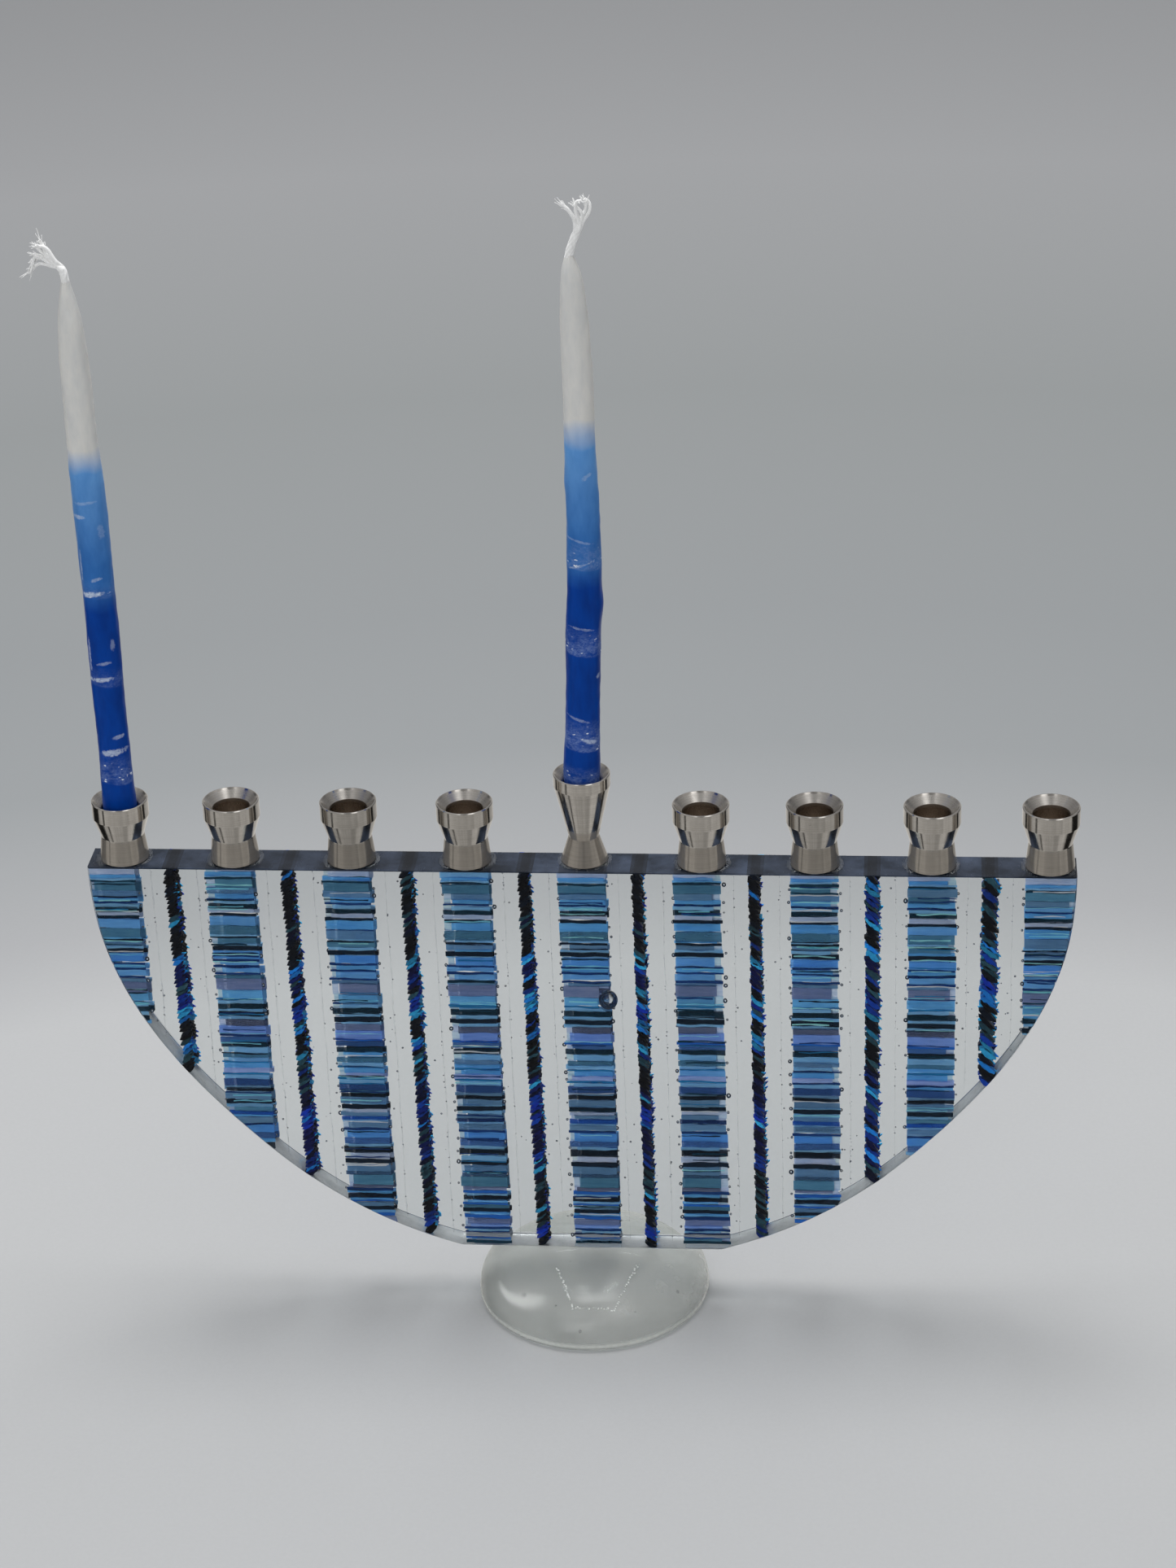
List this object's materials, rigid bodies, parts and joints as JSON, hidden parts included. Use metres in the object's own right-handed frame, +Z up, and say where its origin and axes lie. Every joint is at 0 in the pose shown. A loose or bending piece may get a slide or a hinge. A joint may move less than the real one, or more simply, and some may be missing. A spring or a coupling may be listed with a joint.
{
  "type": "menorah",
  "caption": "D-shaped panel of fused clear and blue glass strips on a domed glass foot, with turned metal candle cups along its flat top and two dipped candles.",
  "frame": {"origin": "centre of the glass foot's flat underside", "axes": "+Z up, +X to the right along the row of cups seen from the front, +Y away from the front"},
  "size_m": [0.2552, 0.0624, 0.3078],
  "materials": {
    "clear_glass": "polished clear fused glass",
    "foot_glass": "fire-polished clear cast glass with a faint green-grey tint",
    "blue_glass": "stacked transparent blue, teal, lilac and black glass strips",
    "twisted_cane": "dark twisted glass cane with bright blue flecks",
    "clear_adhesive": "clear cured adhesive",
    "satin_nickel": "turned and nickel plated, bright",
    "dipped_wax": null,
    "cotton_wick": "frayed braided cotton"
  },
  "bodies": {
    "stand": {"glass_foot": "foot_glass", "foot_glue": "clear_adhesive", "blue_band_1": "blue_glass", "blue_band_2": "blue_glass", "blue_band_3": "blue_glass", "blue_band_4": "blue_glass", "blue_band_5": "blue_glass", "blue_band_6": "blue_glass", "blue_band_7": "blue_glass", "blue_band_8": "blue_glass", "blue_band_9": "blue_glass", "twist_line_1": "twisted_cane", "twist_line_2": "twisted_cane", "twist_line_3": "twisted_cane", "twist_line_4": "twisted_cane", "twist_line_5": "twisted_cane", "twist_line_6": "twisted_cane", "twist_line_7": "twisted_cane", "twist_line_8": "twisted_cane", "clear_strip_01": "clear_glass", "clear_strip_02": "clear_glass", "clear_strip_03": "clear_glass", "clear_strip_04": "clear_glass", "clear_strip_05": "clear_glass", "clear_strip_06": "clear_glass", "clear_strip_07": "clear_glass", "clear_strip_08": "clear_glass", "clear_strip_09": "clear_glass", "clear_strip_10": "clear_glass", "clear_strip_11": "clear_glass", "clear_strip_12": "clear_glass", "clear_strip_13": "clear_glass", "clear_strip_14": "clear_glass", "clear_strip_15": "clear_glass", "clear_strip_16": "clear_glass", "cup_glue_1": "clear_adhesive", "cup_glue_2": "clear_adhesive", "cup_glue_3": "clear_adhesive", "cup_glue_4": "clear_adhesive", "cup_glue_5": "clear_adhesive", "cup_glue_6": "clear_adhesive", "cup_glue_7": "clear_adhesive", "cup_glue_8": "clear_adhesive", "cup_glue_9": "clear_adhesive", "candle_cup_1": "satin_nickel", "candle_cup_2": "satin_nickel", "candle_cup_3": "satin_nickel", "candle_cup_4": "satin_nickel", "shamash_cup": "satin_nickel", "candle_cup_6": "satin_nickel", "candle_cup_7": "satin_nickel", "candle_cup_8": "satin_nickel", "candle_cup_9": "satin_nickel"},
    "left_candle_body": {"left_candle": "dipped_wax", "left_wick": "cotton_wick"},
    "shamash_candle_body": {"shamash_candle": "dipped_wax", "shamash_wick": "cotton_wick"}
  },
  "joints": [
    {"name": "left_candle_lift", "type": "slide", "parent": "stand", "child": "left_candle_body", "axis": [0, 0, 1], "range_m": [0, 0.02]},
    {"name": "shamash_candle_lift", "type": "slide", "parent": "stand", "child": "shamash_candle_body", "axis": [0, 0, 1], "range_m": [0, 0.02]}
  ]
}
